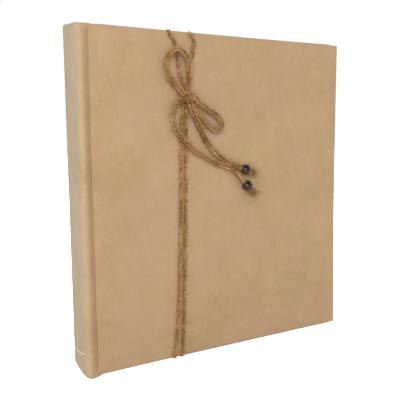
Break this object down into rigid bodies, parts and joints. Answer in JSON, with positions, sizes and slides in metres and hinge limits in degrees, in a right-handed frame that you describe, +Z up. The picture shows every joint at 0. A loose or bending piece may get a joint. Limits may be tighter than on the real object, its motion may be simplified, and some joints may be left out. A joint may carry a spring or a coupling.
{
  "type": "scrapbook album",
  "caption": "Case-bound scrapbook album in kraft paper, with hinged covers, turning blank leaves and a beaded twine bow on the front board.",
  "frame": {"origin": "bottom centre of the closed album's box, on the surface it stands on, measured without the bow", "axes": "+Z up along the spine from tail to head, +X from the spine to the fore-edge, -Y out of the front cover"},
  "size_m": [0.2948, 0.0545, 0.31],
  "materials": {
    "kraft_cover": "matt natural kraft covering paper with fine fibres",
    "grey_board": "grey binder's board",
    "endpaper": "matt ivory endpaper",
    "leaf_card": "matt ivory album card",
    "guard_card": "ivory card guards",
    "mull_cloth": "open-weave cotton mull",
    "liner_paper": "brown liner paper",
    "band_cloth": "natural woven head band",
    "jute_twine": "two-ply hairy jute twine",
    "dark_bead": "dark brown wood bead in gloss lacquer"
  },
  "bodies": {
    "text_block": {"spine_board": "grey_board", "spine_paper": "kraft_cover", "front_joint_paper": "kraft_cover", "back_joint_paper": "kraft_cover", "front_endpaper_joint": "endpaper", "back_endpaper_joint": "endpaper", "leaf_stubs": "leaf_card", "leaf_guards": "guard_card", "spine_mull": "mull_cloth", "spine_liner": "liner_paper", "head_and_tail_bands": "band_cloth"},
    "front_cover": {"front_board": "grey_board", "front_cover_paper": "kraft_cover", "front_pastedown": "endpaper", "twine_wrap_left": "jute_twine", "twine_wrap_right": "jute_twine", "bow_knot": "jute_twine", "bow_loop_left": "jute_twine", "bow_loop_right": "jute_twine", "bow_tail_left": "jute_twine", "bow_tail_right": "jute_twine", "bead_upper": "dark_bead", "bead_lower": "dark_bead", "end_knot_upper": "jute_twine", "end_knot_lower": "jute_twine"},
    "back_cover": {"back_board": "grey_board", "back_cover_paper": "kraft_cover", "back_pastedown": "endpaper"},
    "front_flyleaf": {"front_flyleaf": "endpaper"},
    "back_flyleaf": {"back_flyleaf": "endpaper"},
    "leaf_01": {"leaf_01": "leaf_card"},
    "leaf_02": {"leaf_02": "leaf_card"},
    "leaf_03": {"leaf_03": "leaf_card"},
    "leaf_04": {"leaf_04": "leaf_card"},
    "leaf_05": {"leaf_05": "leaf_card"},
    "leaf_06": {"leaf_06": "leaf_card"},
    "leaf_07": {"leaf_07": "leaf_card"},
    "leaf_08": {"leaf_08": "leaf_card"},
    "leaf_09": {"leaf_09": "leaf_card"},
    "leaf_10": {"leaf_10": "leaf_card"},
    "leaf_11": {"leaf_11": "leaf_card"},
    "leaf_12": {"leaf_12": "leaf_card"},
    "leaf_13": {"leaf_13": "leaf_card"},
    "leaf_14": {"leaf_14": "leaf_card"},
    "leaf_15": {"leaf_15": "leaf_card"},
    "leaf_16": {"leaf_16": "leaf_card"},
    "leaf_17": {"leaf_17": "leaf_card"},
    "leaf_18": {"leaf_18": "leaf_card"},
    "leaf_19": {"leaf_19": "leaf_card"},
    "leaf_20": {"leaf_20": "leaf_card"},
    "leaf_21": {"leaf_21": "leaf_card"},
    "leaf_22": {"leaf_22": "leaf_card"},
    "leaf_23": {"leaf_23": "leaf_card"},
    "leaf_24": {"leaf_24": "leaf_card"},
    "leaf_25": {"leaf_25": "leaf_card"},
    "leaf_26": {"leaf_26": "leaf_card"},
    "leaf_27": {"leaf_27": "leaf_card"},
    "leaf_28": {"leaf_28": "leaf_card"},
    "leaf_29": {"leaf_29": "leaf_card"},
    "leaf_30": {"leaf_30": "leaf_card"}
  },
  "joints": [
    {"name": "front_cover_hinge", "type": "hinge", "parent": "text_block", "child": "front_cover", "pos_m": [-0.1422, -0.0215, 0.155], "axis": [0, 0, -1], "range_deg": [0, 180], "deforming": ["front_joint_paper", "front_endpaper_joint"]},
    {"name": "back_cover_hinge", "type": "hinge", "parent": "text_block", "child": "back_cover", "pos_m": [-0.1422, 0.0215, 0.155], "axis": [0, 0, 1], "range_deg": [0, 180], "deforming": ["back_joint_paper", "back_endpaper_joint"]},
    {"name": "front_flyleaf_crease", "type": "hinge", "parent": "text_block", "child": "front_flyleaf", "pos_m": [-0.136, -0.01388, 0.155], "axis": [0, 0, -1], "range_deg": [0, 72]},
    {"name": "back_flyleaf_crease", "type": "hinge", "parent": "text_block", "child": "back_flyleaf", "pos_m": [-0.136, 0.01632, 0.155], "axis": [0, 0, 1], "range_deg": [0, 72]},
    {"name": "leaf_01_crease", "type": "hinge", "parent": "text_block", "child": "leaf_01", "pos_m": [-0.1262, -0.0129, 0.155], "axis": [0, 0, -1], "range_deg": [0, 66]},
    {"name": "leaf_02_crease", "type": "hinge", "parent": "text_block", "child": "leaf_02", "pos_m": [-0.1262, -0.01193, 0.155], "axis": [0, 0, -1], "range_deg": [0, 61.6]},
    {"name": "leaf_03_crease", "type": "hinge", "parent": "text_block", "child": "leaf_03", "pos_m": [-0.1262, -0.01095, 0.155], "axis": [0, 0, -1], "range_deg": [0, 57.2]},
    {"name": "leaf_04_crease", "type": "hinge", "parent": "text_block", "child": "leaf_04", "pos_m": [-0.1262, -0.00998, 0.155], "axis": [0, 0, -1], "range_deg": [0, 52.8]},
    {"name": "leaf_05_crease", "type": "hinge", "parent": "text_block", "child": "leaf_05", "pos_m": [-0.1262, -0.009, 0.155], "axis": [0, 0, -1], "range_deg": [0, 48.4]},
    {"name": "leaf_06_crease", "type": "hinge", "parent": "text_block", "child": "leaf_06", "pos_m": [-0.1262, -0.00803, 0.155], "axis": [0, 0, -1], "range_deg": [0, 44]},
    {"name": "leaf_07_crease", "type": "hinge", "parent": "text_block", "child": "leaf_07", "pos_m": [-0.1262, -0.00706, 0.155], "axis": [0, 0, -1], "range_deg": [0, 39.6]},
    {"name": "leaf_08_crease", "type": "hinge", "parent": "text_block", "child": "leaf_08", "pos_m": [-0.1262, -0.00608, 0.155], "axis": [0, 0, -1], "range_deg": [0, 35.2]},
    {"name": "leaf_09_crease", "type": "hinge", "parent": "text_block", "child": "leaf_09", "pos_m": [-0.1262, -0.00511, 0.155], "axis": [0, 0, -1], "range_deg": [0, 30.8]},
    {"name": "leaf_10_crease", "type": "hinge", "parent": "text_block", "child": "leaf_10", "pos_m": [-0.1262, -0.00413, 0.155], "axis": [0, 0, -1], "range_deg": [0, 26.4]},
    {"name": "leaf_11_crease", "type": "hinge", "parent": "text_block", "child": "leaf_11", "pos_m": [-0.1262, -0.00316, 0.155], "axis": [0, 0, -1], "range_deg": [0, 22]},
    {"name": "leaf_12_crease", "type": "hinge", "parent": "text_block", "child": "leaf_12", "pos_m": [-0.1262, -0.00218, 0.155], "axis": [0, 0, -1], "range_deg": [0, 17.6]},
    {"name": "leaf_13_crease", "type": "hinge", "parent": "text_block", "child": "leaf_13", "pos_m": [-0.1262, -0.00121, 0.155], "axis": [0, 0, -1], "range_deg": [0, 13.2]},
    {"name": "leaf_14_crease", "type": "hinge", "parent": "text_block", "child": "leaf_14", "pos_m": [-0.1262, -0.00024, 0.155], "axis": [0, 0, -1], "range_deg": [0, 8.8]},
    {"name": "leaf_15_crease", "type": "hinge", "parent": "text_block", "child": "leaf_15", "pos_m": [-0.1262, 0.00074, 0.155], "axis": [0, 0, -1], "range_deg": [0, 4.4]},
    {"name": "leaf_16_crease", "type": "hinge", "parent": "text_block", "child": "leaf_16", "pos_m": [-0.1262, 0.00171, 0.155], "axis": [0, 0, 1], "range_deg": [0, 4.4]},
    {"name": "leaf_17_crease", "type": "hinge", "parent": "text_block", "child": "leaf_17", "pos_m": [-0.1262, 0.00269, 0.155], "axis": [0, 0, 1], "range_deg": [0, 8.8]},
    {"name": "leaf_18_crease", "type": "hinge", "parent": "text_block", "child": "leaf_18", "pos_m": [-0.1262, 0.00366, 0.155], "axis": [0, 0, 1], "range_deg": [0, 13.2]},
    {"name": "leaf_19_crease", "type": "hinge", "parent": "text_block", "child": "leaf_19", "pos_m": [-0.1262, 0.00464, 0.155], "axis": [0, 0, 1], "range_deg": [0, 17.6]},
    {"name": "leaf_20_crease", "type": "hinge", "parent": "text_block", "child": "leaf_20", "pos_m": [-0.1262, 0.00561, 0.155], "axis": [0, 0, 1], "range_deg": [0, 22]},
    {"name": "leaf_21_crease", "type": "hinge", "parent": "text_block", "child": "leaf_21", "pos_m": [-0.1262, 0.00658, 0.155], "axis": [0, 0, 1], "range_deg": [0, 26.4]},
    {"name": "leaf_22_crease", "type": "hinge", "parent": "text_block", "child": "leaf_22", "pos_m": [-0.1262, 0.00756, 0.155], "axis": [0, 0, 1], "range_deg": [0, 30.8]},
    {"name": "leaf_23_crease", "type": "hinge", "parent": "text_block", "child": "leaf_23", "pos_m": [-0.1262, 0.00853, 0.155], "axis": [0, 0, 1], "range_deg": [0, 35.2]},
    {"name": "leaf_24_crease", "type": "hinge", "parent": "text_block", "child": "leaf_24", "pos_m": [-0.1262, 0.00951, 0.155], "axis": [0, 0, 1], "range_deg": [0, 39.6]},
    {"name": "leaf_25_crease", "type": "hinge", "parent": "text_block", "child": "leaf_25", "pos_m": [-0.1262, 0.01048, 0.155], "axis": [0, 0, 1], "range_deg": [0, 44]},
    {"name": "leaf_26_crease", "type": "hinge", "parent": "text_block", "child": "leaf_26", "pos_m": [-0.1262, 0.01145, 0.155], "axis": [0, 0, 1], "range_deg": [0, 48.4]},
    {"name": "leaf_27_crease", "type": "hinge", "parent": "text_block", "child": "leaf_27", "pos_m": [-0.1262, 0.01243, 0.155], "axis": [0, 0, 1], "range_deg": [0, 52.8]},
    {"name": "leaf_28_crease", "type": "hinge", "parent": "text_block", "child": "leaf_28", "pos_m": [-0.1262, 0.0134, 0.155], "axis": [0, 0, 1], "range_deg": [0, 57.2]},
    {"name": "leaf_29_crease", "type": "hinge", "parent": "text_block", "child": "leaf_29", "pos_m": [-0.1262, 0.01438, 0.155], "axis": [0, 0, 1], "range_deg": [0, 61.6]},
    {"name": "leaf_30_crease", "type": "hinge", "parent": "text_block", "child": "leaf_30", "pos_m": [-0.1262, 0.01535, 0.155], "axis": [0, 0, 1], "range_deg": [0, 66]}
  ],
  "couplings": [
    {"joint": "front_flyleaf_crease", "follows": "front_cover_hinge", "ratio": 0.4},
    {"joint": "back_flyleaf_crease", "follows": "back_cover_hinge", "ratio": 0.4},
    {"joint": "leaf_01_crease", "follows": "front_cover_hinge", "ratio": 0.36667},
    {"joint": "leaf_02_crease", "follows": "front_cover_hinge", "ratio": 0.34222},
    {"joint": "leaf_03_crease", "follows": "front_cover_hinge", "ratio": 0.31778},
    {"joint": "leaf_04_crease", "follows": "front_cover_hinge", "ratio": 0.29333},
    {"joint": "leaf_05_crease", "follows": "front_cover_hinge", "ratio": 0.26889},
    {"joint": "leaf_06_crease", "follows": "front_cover_hinge", "ratio": 0.24444},
    {"joint": "leaf_07_crease", "follows": "front_cover_hinge", "ratio": 0.22},
    {"joint": "leaf_08_crease", "follows": "front_cover_hinge", "ratio": 0.19556},
    {"joint": "leaf_09_crease", "follows": "front_cover_hinge", "ratio": 0.17111},
    {"joint": "leaf_10_crease", "follows": "front_cover_hinge", "ratio": 0.14667},
    {"joint": "leaf_11_crease", "follows": "front_cover_hinge", "ratio": 0.12222},
    {"joint": "leaf_12_crease", "follows": "front_cover_hinge", "ratio": 0.097778},
    {"joint": "leaf_13_crease", "follows": "front_cover_hinge", "ratio": 0.073333},
    {"joint": "leaf_14_crease", "follows": "front_cover_hinge", "ratio": 0.048889},
    {"joint": "leaf_15_crease", "follows": "front_cover_hinge", "ratio": 0.024444},
    {"joint": "leaf_16_crease", "follows": "back_cover_hinge", "ratio": 0.024444},
    {"joint": "leaf_17_crease", "follows": "back_cover_hinge", "ratio": 0.048889},
    {"joint": "leaf_18_crease", "follows": "back_cover_hinge", "ratio": 0.073333},
    {"joint": "leaf_19_crease", "follows": "back_cover_hinge", "ratio": 0.097778},
    {"joint": "leaf_20_crease", "follows": "back_cover_hinge", "ratio": 0.12222},
    {"joint": "leaf_21_crease", "follows": "back_cover_hinge", "ratio": 0.14667},
    {"joint": "leaf_22_crease", "follows": "back_cover_hinge", "ratio": 0.17111},
    {"joint": "leaf_23_crease", "follows": "back_cover_hinge", "ratio": 0.19556},
    {"joint": "leaf_24_crease", "follows": "back_cover_hinge", "ratio": 0.22},
    {"joint": "leaf_25_crease", "follows": "back_cover_hinge", "ratio": 0.24444},
    {"joint": "leaf_26_crease", "follows": "back_cover_hinge", "ratio": 0.26889},
    {"joint": "leaf_27_crease", "follows": "back_cover_hinge", "ratio": 0.29333},
    {"joint": "leaf_28_crease", "follows": "back_cover_hinge", "ratio": 0.31778},
    {"joint": "leaf_29_crease", "follows": "back_cover_hinge", "ratio": 0.34222},
    {"joint": "leaf_30_crease", "follows": "back_cover_hinge", "ratio": 0.36667}
  ]
}
